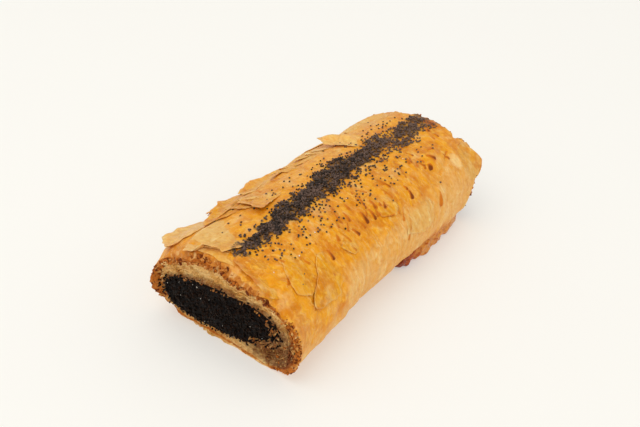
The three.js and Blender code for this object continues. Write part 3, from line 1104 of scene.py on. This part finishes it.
def makeSheet(number, ply, ring, tone):
    corners = np.array(ring, float)
    middle = corners.mean(axis=0)
    corners[:, :2] = mix(middle[:2], corners[:, :2], 1 - sheet["plyInset"] * ply)
    corners[corners[:, 2] > 0, 2] *= 1 - sheet["plyDrop"] * ply
    share = np.linspace(0, 1, sheet["perSide"], endpoint=False)[:, None]
    edge = np.concatenate([mix(a, b, share) for a, b in zip(corners, np.roll(corners, -1, axis=0))])
    outX, outArc = (edge[:, :2] - middle[:2]).T
    turns, reaches = np.arctan2(outArc, outX), np.hypot(outX, outArc)
    order = np.argsort(turns)
    half = np.ptp(corners[:, :2], axis=0) / 2
    columns, rows = [max(6, int(2 * h / sheet["cell"])) for h in half]
    piece, a, b = startGrid(columns, rows)
    spread = np.maximum(np.abs(a), np.abs(b))
    turn = np.arctan2(b * half[1], a * half[0])
    reach = np.interp(turn, turns[order], reaches[order], period=2 * np.pi)
    rim = np.interp(turn, turns[order], edge[order, 2], period=2 * np.pi)
    seed = sheet["draw"] + 17 * number + 5 * ply
    jag = crumple(reach * np.cos(turn) / 1.6, reach * np.sin(turn) / 1.6, seed)
    reach = spread * (reach + sheet["ragged"] * (2.2 * jag - 0.4) * spread**4)
    x, arc = middle[0] + reach * np.cos(turn), middle[1] + reach * np.sin(turn)
    lift = mix(sheet["clear"] - sheet["plyGap"] * ply, rim, spread**1.7)
    curl = sheet["curl"] * crumple(x / 3.2, arc / 3.2, seed + 1)
    lift = lift + curl * (0.3 + np.maximum(lift, 0) * 0.6)
    movePoints(piece, toFrame(onRoll(x, arc, lift + skinHeight(np.maximum(x, 4 - halfLong), arc))))
    edgeToastAndHighlight = smooth(spread, 0.9, 1) * (rim > 0)    # free edges are a little browner, and paler as a painted highlight
    browner, drier, paler = tone
    browner = browner + 0.05 * edgeToastAndHighlight + 0.08 * ply
    addSkinValues(piece, x, arc, browner, drier - 0.2 * edgeToastAndHighlight, paler + 0.3 * edgeToastAndHighlight)
    addPlaces(piece, x, arc, np.where(middle[1] < 10, 6 * number + 2 * ply, 0))
    applyModifier(piece, "SOLIDIFY", thickness=sheet["thick"] * mm, offset=0)
    return piece


smallFlakes = {
    "draw": 71,
    "zones": [    # count, x from and to, arc from and to, way of the free end, length, width, lift
        (10, -58, 62, -46, -10, (-1, -0.5), 10, 6, 0.9),
        (16, -60, 50, -36, -12, (-1, -0.25), 20, 4, 1.0),
        (8, -50, 56, -60, -44, (-1, -0.5), 16, 5, 0.8),
    ],
}


def flakeRing(x, arc, way, length, width, lift, draw):
    way = unit(np.array(way) + 0.35 * draw.normal(size=2))
    ring = []
    for turn in np.linspace(0, 2 * np.pi, 11, endpoint=False):
        along, across = np.cos(turn), np.sin(turn)
        reach = along * length / 2 * draw.uniform(0.85, 1.1)
        aside = across * width / 2 * (1 - 0.3 * along) * draw.uniform(0.8, 1.1)
        spot = np.array([x, arc]) + way * reach + aside * np.array([-way[1], way[0]])
        ring.append((*spot, mix(-0.45, lift, (along + 1) / 2)))
    return ring


def makeSheets():
    pieces = []
    for number, (tone, plies, ring) in enumerate(looseSheets):
        for ply in range(plies):
            pieces.append(makeSheet(number, ply, ring, tone))
    draw = np.random.default_rng(smallFlakes["draw"])
    for count, xFrom, xTo, arcFrom, arcTo, way, length, width, lift in smallFlakes["zones"]:
        for x, arc in zip(draw.uniform(xFrom, xTo, count), draw.uniform(arcFrom, arcTo, count)):
            grow = draw.uniform(0.6, 1.4, 3)
            ring = flakeRing(x, arc, way, length * grow[0], width * grow[1], lift * grow[2], draw)
            tone = (draw.uniform(-0.08, 0.14), draw.uniform(-0.25, 0.2), draw.uniform(0, 0.3))
            pieces.append(makeSheet(len(pieces), 0, ring, tone))
    finishPiece(joinAll(pieces), "loose_sheets", "baked_pastry", crustMaterial)


makeSheets()


# browned streaks: each is a low blister, narrow at its upper end and darkest at its lower one

browned = {
    "wide": 1.6,
    "rise": 0.3,
    "sunk": 0.16,     # its edge goes under the skin
    "thick": 0.3,
    "cell": 0.3,
    "across": 9,
}


def makeStreaks():
    pieces = []
    for x0, arc0, x1, arc1, half, strength in allStreaks:
        length = math.hypot(x1 - x0, arc1 - arc0)
        wayX, wayArc = (x1 - x0) / length, (arc1 - arc0) / length
        cells = max(10, int((length + 2 * half) / browned["cell"]))
        piece, s, q = startGrid(cells, browned["across"])
        share = (s + 1) / 2
        run = mix(-half, length + half, share)
        aside = q * browned["wide"] * half * (0.8 + 0.5 * share) * np.sqrt(1.02 - s**4)
        x, arc = x0 + wayX * run + wayArc * aside, arc0 + wayArc * run - wayX * aside
        dome = (1 - q**2) * (1 - s**4)
        lift = mix(-browned["sunk"], browned["rise"] * max(strength, 0.6), dome)
        movePoints(piece, toFrame(onRoll(x, arc, lift + skinHeight(x, arc))))
        addSkinValues(piece, x, arc)
        addPlaces(piece, x, arc, 0)
        pieces.append(piece)
    piece = joinAll(pieces)
    applyModifier(piece, "SOLIDIFY", thickness=browned["thick"] * mm, offset=-1)
    finishPiece(piece, "browned_streaks", "baked_pastry", crustMaterial)


makeStreaks()


# torn layers that stand out of both cuts

layers = {
    "eachEnd": 90,
    "spans": [(4, 17), (0.06, 1.0), (-94, 94), (0.15, 1.1)],    # length, depth, arc, how proud
    "overFilling": 16,    # at each end, lying over the filling's -Y edge
    "overSpans": [(2, 6), (1.02, 1.35), (40, 62), (1.2, 2.4)],
    "lean": 0.09,
    "rooted": 1.2,        # goes this far into the cut
    "thick": 0.24,
    "cell": 0.7,
    "across": 3,
    "draw": 31,
}


def makeLayers():
    draw = np.random.default_rng(layers["draw"])
    pieces = []
    for end, number in itertools.product((-1, 1), range(layers["eachEnd"] + layers["overFilling"])):
        length, depth0, arc0, proud = [draw.uniform(low, high) for low, high in layers["spans"]]
        lean = draw.uniform(-layers["lean"], layers["lean"])
        if number >= layers["eachEnd"]:
            length, depth0, arc0, proud = [draw.uniform(low, high) for low, high in layers["overSpans"]]
        piece, s, q = startGrid(max(8, int(length / layers["cell"])), layers["across"])
        arc = arc0 + s * length / 2
        wander = 0.09 * softNoise(arc / 5, 0 * arc + number, 401)
        depth = np.clip(depth0 + wander + lean * q, 0.02, 1.4)
        y, z, inward = sectionAt(end * halfLong + 0 * arc, arc, depth)
        torn = 0.75 + 0.8 * crumple(arc / 1.3, 0 * arc + number, 405)
        out = mix(-layers["rooted"], proud * torn * (1 - s**4), (q + 1) / 2)
        x = cutPlace(end, arc, y, z, depth, inward) + end * out
        movePoints(piece, toFrame(np.stack([x, y, np.maximum(z, roll["pressedFlat"] + 0.2)], axis=-1)))
        sear = crustShare(arc, y, z, inward, cutEnds[-1]["seed"]) + draw.uniform(-0.1, 0.25)
        lamina = draw.uniform(0, 0.8)
        addCrumbValues(piece, sear, lamina, moistShare(arc, depth, inward) + draw.uniform(-0.2, 0.1))
        pieces.append(piece)
    piece = joinAll(pieces)
    applyModifier(piece, "SOLIDIFY", thickness=layers["thick"] * mm, offset=0)
    finishPiece(piece, "torn_layers", "baked_pastry", crumbMaterial)


makeLayers()


# many small things: one shape is modelled, then copied, each copy turned and sized its own way

def shapeOf(model, sizes):
    pickOnly(model)
    bpy.ops.object.mode_set(mode="EDIT")
    bpy.ops.mesh.select_all(action="SELECT")
    bpy.ops.mesh.quads_convert_to_tris()
    bpy.ops.object.mode_set(mode="OBJECT")
    points = readPoints(model) * sizes
    faces = np.array([tuple(p.vertices) for p in model.data.polygons])
    bpy.data.objects.remove(model)
    return points, faces


def scatter(name, shape, centres, up, sizes, tilt, draw):
    shapePoints, shapeFaces = shape
    count = len(centres)
    third = unit(up + tilt * draw.normal(size=(count, 3)))
    first = unit(np.cross(third, draw.normal(size=(count, 3))))
    axes = np.stack([first, np.cross(third, first), third], axis=1)
    turned = np.einsum("vk,nkc->nvc", shapePoints, axes * sizes[:, None, None])
    points = toFrame(centres[:, None, :] + turned).reshape(-1, 3)
    faces = (shapeFaces[None] + len(shapePoints) * np.arange(count)[:, None, None]).reshape(-1, 3)
    mesh = bpy.data.meshes.new(name)
    mesh.from_pydata(points.tolist(), [], faces.tolist())
    piece = bpy.data.objects.new(name, mesh)
    bpy.context.scene.collection.objects.link(piece)
    return piece


# toasted crumbs where the outer sheets broke and round the rims

crumbs = {
    "draw": 47,
    "least": 0.5,
    "onBreak": (200, -27, 23, 2.2),    # count, arc from and to, largest
    "onRim": (90, 33, 64, 1.4),        # the same, on the skin behind the right of the front rim
    "rimSpread": 1.3,
    "zones": [    # count, arc from and to, depth from and to, largest
        (80, -60, -42, 0.03, 0.8, 1.6),
        (130, 48, 70, 0.02, 0.75, 1.3),
        (110, 24, 52, 0.02, 0.4, 1.7),
        (150, -26, 26, 0.04, 0.2, 2.2),
        (50, -42, -24, 0.04, 0.3, 2),
        (50, -94, 94, 0.3, 0.95, 0.8),
        (60, 42, 62, 0.95, 1.4, 1.2),
        (70, -94, 94, 0.92, 1.05, 1),
    ],
}


def makeCrumbs():
    draw = np.random.default_rng(crumbs["draw"])
    model = startFrom(bpy.ops.mesh.primitive_uv_sphere_add, segments=6, ring_count=5, radius=0.5)
    points, faces = shapeOf(model, [1.15, 0.9, 0.55])
    points = points * (1 + 0.5 * crumple(points[:, :1] * 4, (points[:, 1:2] + points[:, 2:]) * 4, 411))
    count, arcFrom, arcTo, most = crumbs["onBreak"]
    arc = draw.uniform(arcFrom, arcTo, count)
    x = -halfLong + fromTable(arc, tornBack) * draw.uniform(-0.05, 0.9, count)
    centres = onRoll(x, arc, skinHeight(x, arc) + 0.1)
    found = [(centres, 0 * arc, 0 * arc + most)]    # centres, how wet, largest
    count, arcFrom, arcTo, most = crumbs["onRim"]
    arc = draw.uniform(arcFrom, arcTo, count)
    y, z, inward = sectionAt(0 * arc - halfLong, arc, 0 * arc)
    x = cutPlace(-1, arc, y, z, 0 * arc, inward) + crumbs["rimSpread"] * draw.uniform(0, 1, count) ** 1.5
    centres = onRoll(x, arc, skinHeight(np.maximum(x, -halfLong), arc) + 0.05)
    found.append((centres, 0 * arc, 0 * arc + most))
    for end, zone in itertools.product((-1, 1), crumbs["zones"]):
        count, arcFrom, arcTo, depthFrom, depthTo, most = zone
        arc, depth = draw.uniform(arcFrom, arcTo, count), draw.uniform(depthFrom, depthTo, count)
        y, z, inward = sectionAt(end * halfLong + 0 * arc, arc, depth)
        x = cutPlace(end, arc, y, z, depth, inward) + end * (0.15 + 0.9 * smooth(depth, 0.9, 1))
        wet = moistShare(arc, depth, inward) * draw.uniform(0.5, 1.2, count)
        found.append((np.stack([x, y, np.maximum(z, 2)], axis=-1), wet, 0 * arc + most))
    centres, wet, largest = [np.concatenate(parts) for parts in zip(*found)]
    up = draw.normal(size=centres.shape)
    sizes = mix(crumbs["least"], largest, draw.uniform(0, 1, len(centres)) ** 2)
    piece = scatter("toasted_crumbs", (points, faces), centres, up, sizes, 1.0, draw)
    sear = draw.uniform(0.5, 1.25, len(centres)) * (1 - 0.6 * np.clip(wet, 0, 1))
    lamina = draw.uniform(0, 1, len(centres))
    addCrumbValues(piece, *[np.repeat(values, len(points)) for values in (sear, lamina, wet)])
    finishPiece(piece, "toasted_crumbs", "baked_pastry", crumbMaterial)


makeCrumbs()


# filling

filling = {
    "cuts": 38,
    "bulge": 0.5,
    "lump": 1.5,
    "fineLump": 0.4,
    "grains": (1500, 1000),    # at the front and at the back
    "grainSizes": (0.8, 1.15),
    "strays": 130,             # at each end, just outside the rim
    "stirred": 0.35,           # this share of the grains is pushed in or out
    "draw": 11,
}


def fillingFace(a, b):    # a and b from -1 to 1 across the square that is drawn out to the core's outline
    spread = np.maximum(np.abs(a), np.abs(b))
    angle = np.arctan2(b, a)
    c, s = np.cos(angle), np.sin(angle)
    reach = spread * (np.abs(c) ** core["power"] + np.abs(s) ** core["power"]) ** (-1 / core["power"])
    wide, high = core["width"] / 2 * reach * c, core["height"] / 2 * reach * s
    y = core["middleY"] + wide * math.cos(core["tilt"]) - high * math.sin(core["tilt"])
    z = core["middleZ"] + wide * math.sin(core["tilt"]) + high * math.cos(core["tilt"])
    return spread, y, z


def fillingSwell(end, y, z, spread):
    lumps = filling["lump"] * crumple(y / 2.6, z / 2.6, 151 + end)
    lumps = lumps + filling["fineLump"] * crumple(y / 0.9, z / 0.9, 163)
    return filling["bulge"] * (1 - spread**2) + lumps * (1 - smooth(spread, 0.93, 1))


def makeFilling():
    piece = startFrom(bpy.ops.mesh.primitive_cube_add, size=2)
    bpy.ops.object.mode_set(mode="EDIT")
    bpy.ops.mesh.subdivide(number_cuts=filling["cuts"])
    bpy.ops.object.mode_set(mode="OBJECT")
    p, a, b = readPoints(piece).T
    spread, y, z = fillingFace(a, b)
    swell = np.where(p > 0, fillingSwell(1, y, z, spread), fillingSwell(-1, y, z, spread))
    x = p * halfLong + np.sign(p) * swell * (np.abs(p) > 0.9999) * (spread < 0.9999)
    movePoints(piece, toFrame(np.stack([x, y, z], axis=-1)))
    finishPiece(piece, "poppy_filling", "poppy_filling", pasteMaterial)
    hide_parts("filling")


makeFilling()


# poppy seeds, in the filling and on the crest

seed = {
    "length": 0.98,
    "width": 0.8,
    "thick": 0.72,
    "bend": 0.12,
    "sides": 6,
    "rings": 4,
}


def seedShape():
    counts = {"segments": seed["sides"], "ring_count": seed["rings"]}
    model = startFrom(bpy.ops.mesh.primitive_uv_sphere_add, radius=0.5, **counts)
    model.rotation_euler = (0, math.pi / 2, 0)
    bpy.ops.object.transform_apply(rotation=True)
    points, faces = shapeOf(model, [seed["length"], seed["width"], seed["thick"]])
    points[:, 1] += seed["bend"] * (2 * points[:, 0] / seed["length"]) ** 2    # kidney
    return points, faces


seedModel = seedShape()


def makeGrains():
    draw = np.random.default_rng(filling["draw"])
    centres, ups = [], []
    for end, count in zip((-1, 1), filling["grains"]):
        a, b = draw.uniform(-1, 1, (2, count))
        stirred = draw.uniform(0, 1, count) < filling["stirred"]
        over = 1 + np.where(stirred, draw.normal(0, 0.05, count), -0.015)
        rim = draw.uniform(-np.pi, np.pi, filling["strays"])
        a = np.concatenate([a * over, np.cos(rim) * 1.4])
        b = np.concatenate([b * over, np.sin(rim) * 1.4])
        far = np.maximum(np.abs(a), np.abs(b))
        limit = np.where(far > 1.1, far / (1 + np.abs(draw.normal(0, 0.06, len(a)))), 1)
        spread, y, z = fillingFace(a / limit, b / limit)
        x = halfLong + fillingSwell(end, y, z, np.minimum(spread, 1)) + draw.uniform(-0.2, 0.4, len(y))
        centres.append(np.stack([end * x, y, z], axis=-1))
        ups.append(np.tile([end, 0, 0], (len(y), 1)))
    centres, ups = np.concatenate(centres), np.concatenate(ups)
    tones = draw.uniform(0, 1, len(centres)) ** 2
    sizes = draw.uniform(*filling["grainSizes"], len(centres))
    piece = scatter("filling_grains", seedModel, centres, ups, sizes, 0.8, draw)
    addValues(piece, "tone", np.repeat(tones, len(seedModel[0])))
    finishPiece(piece, "filling_grains", "poppy_filling", grainMaterial)


makeGrains()


topping = {
    "tries": 8000,
    "most": 4300,
    "sizes": (0.8, 1.12),
    "spread": 1.6,        # against the strip's half width
    "bed": 0.25,
    "pile": 0.5,
    "farLight": 0.7,      # seeds look lighter towards the far end
    "mottle": 0.9,
    "draw": 23,
    "zones": [    # count, x from and to, arc from and to
        (120, -62, -8, 6, 20),
        (140, -10, 55, 8, 22),
        (70, -55, 60, -20, -5),
        (10, -60, 40, 20, 34),
    ],
}


def makeTopping():
    draw = np.random.default_rng(topping["draw"])
    x = draw.uniform(strip["front"] - 4, strip["back"] - 1, topping["tries"])
    sideways = draw.uniform(-topping["spread"], topping["spread"], len(x))
    arc = stripMiddle(x) + sideways * stripHalf(x)
    cover = stripCover(x, arc)
    kept = np.flatnonzero(draw.uniform(0, 1, len(x)) < stripThin(x) * cover**1.4)[:topping["most"]]
    x, arc, cover = x[kept], arc[kept], cover[kept]
    lift = topping["bed"] + topping["pile"] * draw.uniform(0, 1, len(x)) * smooth(cover, 0.5, 1)
    for count, xFrom, xTo, arcFrom, arcTo in topping["zones"]:
        towards = draw.uniform(0, 1, count) ** (2 if arcFrom > 0 else 0.45)
        x = np.concatenate([x, draw.uniform(xFrom, xTo, count)])
        arc = np.concatenate([arc, mix(arcFrom, arcTo, towards)])
    lift = np.concatenate([lift, np.full(len(x) - len(lift), topping["bed"])])
    outY, outZ = outward(arc)
    centres = onRoll(x, arc, lift + skinHeight(x, arc))
    up = np.stack([0 * x, outY, outZ], axis=-1)
    tones = draw.uniform(0, 1, len(x)) ** 1.6 + topping["farLight"] * smooth(x, 0, 50)
    tones = np.clip(tones + topping["mottle"] * crumple(x / 2.5, arc / 2, 177), 0, 1.6)
    sizes = draw.uniform(*topping["sizes"], len(x))
    piece = scatter("poppy_topping", seedModel, centres, up, sizes, 0.5, draw)
    addValues(piece, "tone", np.repeat(tones, len(seedModel[0])))
    finishPiece(piece, "poppy_topping", "poppy_filling", toppingMaterial)


makeTopping()


# a few white sugar grains on the seeds and in the filling, partly real sugar and partly painted glints

sugarGlints = {
    "size": (0.45, 0.8),
    "onCrest": [    # x, arc
        (-61, 19.5), (-47.5, 20.6), (-33, 17), (33, 15.6), (24, 16), (-52, 13), (-8, 14), (50, -7),
    ],
    "inFilling": (18, 14),    # at the front and at the back
    "smaller": 0.55,          # those in the filling, against those on the crest
    "proud": 0.55,
    "draw": 61,
}


def makeSugarGlints():
    draw = np.random.default_rng(sugarGlints["draw"])
    model = startFrom(bpy.ops.mesh.primitive_uv_sphere_add, segments=5, ring_count=3, radius=0.5)
    crystal = shapeOf(model, [1, 0.85, 0.8])
    x, arc = np.array(sugarGlints["onCrest"], float).T
    centres = [onRoll(x, arc, skinHeight(x, arc) + 0.3)]
    for end, count in zip((-1, 1), sugarGlints["inFilling"]):
        a, b = draw.uniform(-0.95, 0.95, (2, count))
        spread, y, z = fillingFace(a, b)
        x = halfLong + fillingSwell(end, y, z, spread) + sugarGlints["proud"]
        centres.append(np.stack([end * x, y, z], axis=-1))
    shares = (1, sugarGlints["smaller"], sugarGlints["smaller"])
    sizes = [share * draw.uniform(*sugarGlints["size"], len(spots)) for share, spots in zip(shares, centres)]
    centres, sizes = np.concatenate(centres), np.concatenate(sizes)
    piece = scatter("sugar_glint_grains", crystal, centres, draw.normal(size=centres.shape), sizes, 1.0, draw)
    finishPiece(piece, "sugar_glint_grains", "poppy_filling", sugarGlintMaterial)


makeSugarGlints()


# browned syrup at the foot of the -Y side

syrup = {
    "voxel": 0.0005,    # in metres
    "rough": 0.3,
    "grain": 0.45,
    "foot": 0.3,
    "lumps": [    # x, y, length, width, height
        (16, -29, 13, 8, 9),
        (25.5, -31, 15, 8, 10),
        (36.5, -31.5, 17, 7, 11),
        (49, -31.5, 17, 6, 11),
    ],
}


def makeSyrupLeak():
    pieces = []
    foot = roll["pressedFlat"] + syrup["foot"]
    for x0, y0, length, width, height in syrup["lumps"]:
        piece = startFrom(bpy.ops.mesh.primitive_ico_sphere_add, subdivisions=5, radius=0.5)
        p = readPoints(piece)
        p = p * (1 + syrup["rough"] * crumple(p[:, :1] * 5 + x0, (p[:, 1:2] + p[:, 2:3]) * 5, 181))
        z = np.maximum(foot + height * (0.3 + p[:, 2]), foot)
        movePoints(piece, toFrame(np.stack([x0 + length * p[:, 0], y0 + width * p[:, 1], z], axis=-1)))
        pieces.append(piece)
    piece = joinAll(pieces)
    applyModifier(piece, "REMESH", mode="VOXEL", voxel_size=syrup["voxel"])
    p = (readPoints(piece) - rollShift) / mm
    rough = syrup["grain"] * crumple(p[:, 0] / 1.3 + p[:, 2] / 3, (p[:, 1] + p[:, 2]) / 1.3, 191)
    p[:, 1] -= rough
    p[:, 2] = np.maximum(p[:, 2] + rough, foot)
    movePoints(piece, toFrame(p))
    addValues(piece, "toast", np.clip(1.15 - (p[:, 0] - 9) / 14, 0.25, 1))    # burnt at its front end
    finishPiece(piece, "syrup_leak", "baked_pastry", syrupMaterial)


makeSyrupLeak()


# floor, light and camera

stage = {
    "floor": colour("c9c8c3"),
    "floorShade": colour("c6c5c0"),
    "glow": 0.34,    # the floor gives a little light of its own
    "light": (1.0, 0.985, 0.955, 1),
    "worldStrength": 0.74,
    "softLights": {    # place and size in metres, power
        "overhead": ((-0.3, 0.42, 1.5), 1.8, 9.8),
        "front_fill": ((-1.1, -0.5, 0.6), 1.2, 2.6),
        "side_fill": ((0.4, -1.2, 0.7), 1.2, 2.5),
    },
    "cameraAt": (-230, -162.5, 210.5),    # in millimetres, as on the roll
    "cameraTo": (-1, 4, 22),
    "lens": 44.5,
}


def makeStage():
    floor = startFrom(bpy.ops.mesh.primitive_plane_add, size=6, location=(0, 0, 0))
    floor.name = "floor"
    material, wire = newMaterial("pale_floor")
    finishShader(wire, {
        "Base Color": blend(noise(objectSpot(wire), 3, 2), stage["floor"], stage["floorShade"]),
        "Roughness": 0.7,
        "Specular IOR Level": 0.2,
        "Emission Color": stage["light"],
        "Emission Strength": stage["glow"],
    })
    floor.data.materials.append(material)
    for name, (place, size, power) in stage["softLights"].items():
        bpy.ops.object.light_add(type="AREA", location=place)
        light = bpy.context.object
        light.name = name
        light.data.size = size
        light.data.energy = power
        light.data.color = stage["light"][:3]
        light.rotation_euler = (-Vector(place)).to_track_quat("-Z", "Y").to_euler()
    world = bpy.data.worlds.new("studio")
    bpy.context.scene.world = world
    world.use_nodes = True
    background = world.node_tree.nodes["Background"].inputs
    background["Color"].default_value = stage["light"]
    background["Strength"].default_value = stage["worldStrength"]
    eye = Vector(toFrame(np.array(stage["cameraAt"])))
    aim = Vector(toFrame(np.array(stage["cameraTo"])))
    bpy.ops.object.camera_add(location=eye, rotation=(aim - eye).to_track_quat("-Z", "Y").to_euler())
    camera = bpy.context.object
    camera.data.sensor_fit = "HORIZONTAL"
    camera.data.sensor_width = 36
    camera.data.lens = stage["lens"]
    camera.data.clip_start = 0.01
    bpy.context.scene.camera = camera
    bpy.context.scene.view_settings.view_transform = "Standard"


makeStage()
